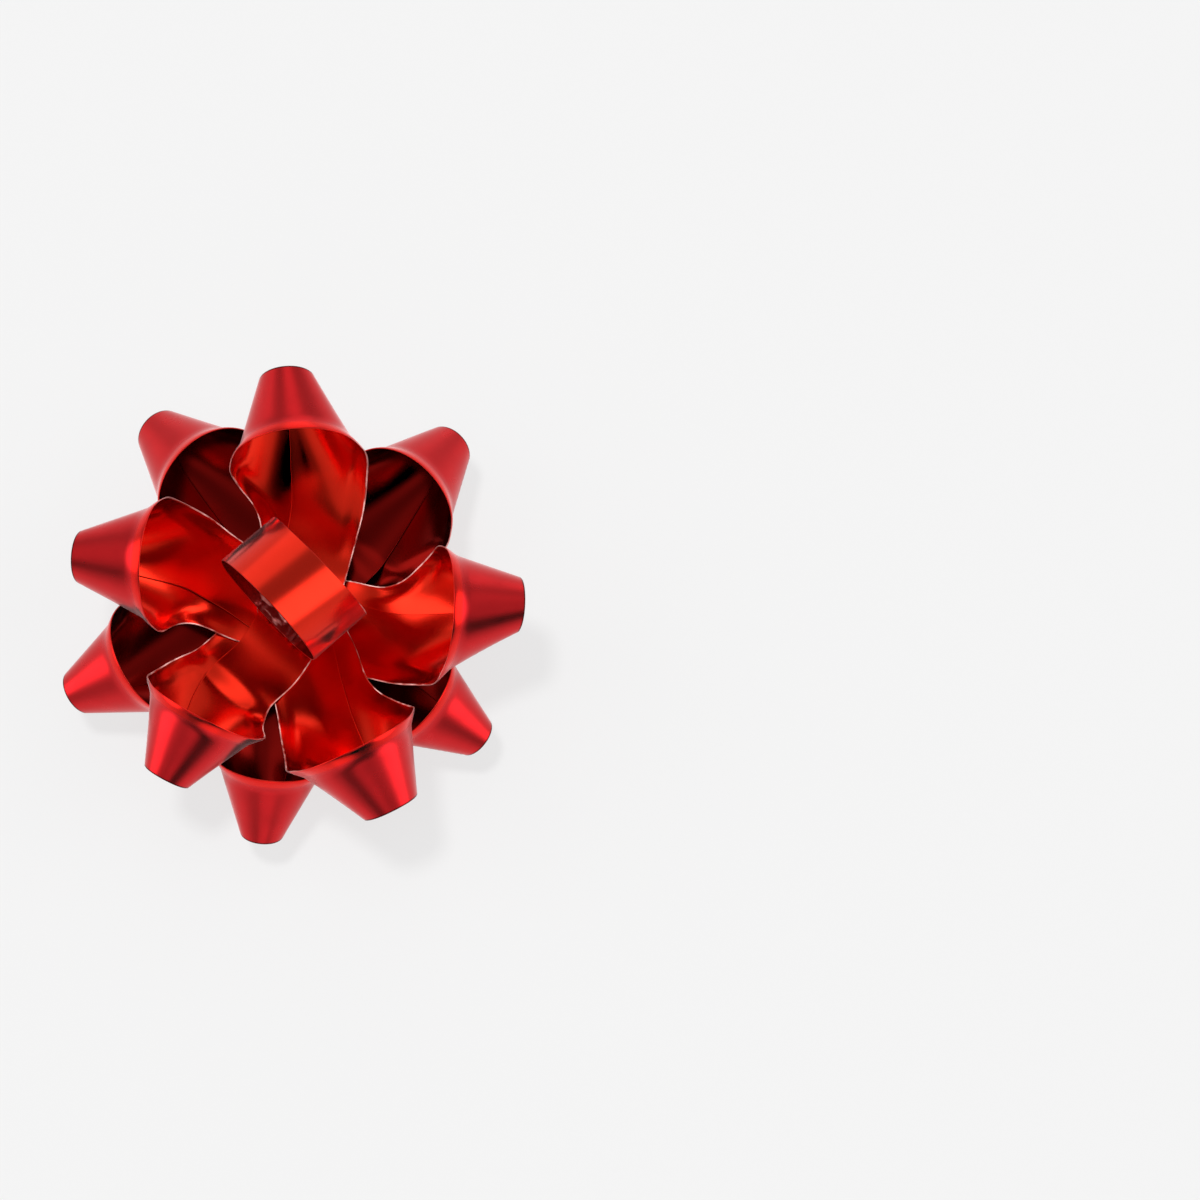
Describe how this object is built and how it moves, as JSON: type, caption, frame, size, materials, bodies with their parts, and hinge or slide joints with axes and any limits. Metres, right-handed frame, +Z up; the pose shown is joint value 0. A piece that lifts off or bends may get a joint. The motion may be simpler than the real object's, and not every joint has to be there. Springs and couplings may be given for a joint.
{
  "type": "gift bow",
  "caption": "Star gift bow of metallised ribbon: two tiers of conical loops round a centre loop, on a card disc with an adhesive pad and a peel-off liner.",
  "frame": {"origin": "middle of the release liner's underside, which is where the bow stands or sticks", "axes": "+Z up through the centre loop, away from the wrapped parcel; the first upper loop points close to +Y"},
  "size_m": [0.065, 0.065, 0.0286],
  "materials": {
    "ribbon_film": "metallised film: satin on the loops' outer side, mirror-bright on the inner side",
    "fused_film": "melted and pressed film, wrinkled",
    "base_card": "uncoated greyboard",
    "adhesive_foam": "fine-celled foam tape",
    "liner_paper": "silicone-coated paper"
  },
  "bodies": {
    "base": {"base_card": "base_card", "adhesive_pad": "adhesive_foam", "centre_weld": "fused_film", "lower_crossing_1": "ribbon_film", "lower_crossing_2": "ribbon_film", "lower_crossing_3": "ribbon_film", "lower_crossing_4": "ribbon_film", "lower_crossing_5": "ribbon_film", "upper_crossing_1": "ribbon_film", "upper_crossing_2": "ribbon_film", "upper_crossing_3": "ribbon_film", "upper_crossing_4": "ribbon_film", "upper_crossing_5": "ribbon_film"},
    "lower_loop_1": {"lower_loop_1": "ribbon_film"},
    "lower_loop_2": {"lower_loop_2": "ribbon_film"},
    "lower_loop_3": {"lower_loop_3": "ribbon_film"},
    "lower_loop_4": {"lower_loop_4": "ribbon_film"},
    "lower_loop_5": {"lower_loop_5": "ribbon_film"},
    "upper_loop_1": {"upper_loop_1": "ribbon_film"},
    "upper_loop_2": {"upper_loop_2": "ribbon_film"},
    "upper_loop_3": {"upper_loop_3": "ribbon_film"},
    "upper_loop_4": {"upper_loop_4": "ribbon_film"},
    "upper_loop_5": {"upper_loop_5": "ribbon_film"},
    "centre_loop": {"centre_loop": "ribbon_film"},
    "release_liner": {"release_liner": "liner_paper"}
  },
  "joints": [
    {"name": "lower_loop_1_flex", "type": "hinge", "parent": "base", "child": "lower_loop_1", "pos_m": [0.01213, 0.01301, 0.00389], "axis": [0.7314, -0.682, 0], "range_deg": [-4, 3], "stiffness_Nm_per_rad": 0.002},
    {"name": "lower_loop_2_flex", "type": "hinge", "parent": "base", "child": "lower_loop_2", "pos_m": [-0.00821, 0.01576, 0.00432], "axis": [0.887, 0.4618, 0], "range_deg": [-4, 3], "stiffness_Nm_per_rad": 0.002},
    {"name": "lower_loop_3_flex", "type": "hinge", "parent": "base", "child": "lower_loop_3", "pos_m": [-0.01703, -0.00504, 0.00352], "axis": [-0.284, 0.9588, 0], "range_deg": [-4, 3], "stiffness_Nm_per_rad": 0.002},
    {"name": "lower_loop_4_flex", "type": "hinge", "parent": "base", "child": "lower_loop_4", "pos_m": [-0.00232, -0.01765, 0.00426], "axis": [-0.9914, 0.1305, 0], "range_deg": [-4, 3], "stiffness_Nm_per_rad": 0.002},
    {"name": "lower_loop_5_flex", "type": "hinge", "parent": "base", "child": "lower_loop_5", "pos_m": [0.01466, -0.01008, 0.00356], "axis": [-0.5664, -0.8241, 0], "range_deg": [-4, 3], "stiffness_Nm_per_rad": 0.002},
    {"name": "upper_loop_1_flex", "type": "hinge", "parent": "base", "child": "upper_loop_1", "pos_m": [0.00226, 0.01714, 0.00987], "axis": [0.9914, -0.1305, 0], "range_deg": [-4, 4], "stiffness_Nm_per_rad": 0.002},
    {"name": "upper_loop_2_flex", "type": "hinge", "parent": "base", "child": "upper_loop_2", "pos_m": [-0.01582, 0.00688, 0.00907], "axis": [0.3987, 0.9171, 0], "range_deg": [-4, 4], "stiffness_Nm_per_rad": 0.002},
    {"name": "upper_loop_3_flex", "type": "hinge", "parent": "base", "child": "upper_loop_3", "pos_m": [-0.01151, -0.01301, 0.00895], "axis": [-0.749, 0.6626, 0], "range_deg": [-4, 4], "stiffness_Nm_per_rad": 0.002},
    {"name": "upper_loop_4_flex", "type": "hinge", "parent": "base", "child": "upper_loop_4", "pos_m": [0.00639, -0.01622, 0.00898], "axis": [-0.9304, -0.3665, 0], "range_deg": [-4, 4], "stiffness_Nm_per_rad": 0.002},
    {"name": "upper_loop_5_flex", "type": "hinge", "parent": "base", "child": "upper_loop_5", "pos_m": [0.01713, -0.00241, 0.00847], "axis": [-0.1392, -0.9903, 0], "range_deg": [-4, 4], "stiffness_Nm_per_rad": 0.002},
    {"name": "centre_loop_flex", "type": "hinge", "parent": "base", "child": "centre_loop", "pos_m": [-0.00069, 0.00072, 0.0081], "axis": [0.7193, 0.6947, 0], "range_deg": [-8, 8], "stiffness_Nm_per_rad": 0.004},
    {"name": "liner_peel", "type": "hinge", "parent": "base", "child": "release_liner", "pos_m": [-0.0125, 0, 0.0002], "axis": [0, 1, 0], "range_deg": [0, 120]}
  ]
}
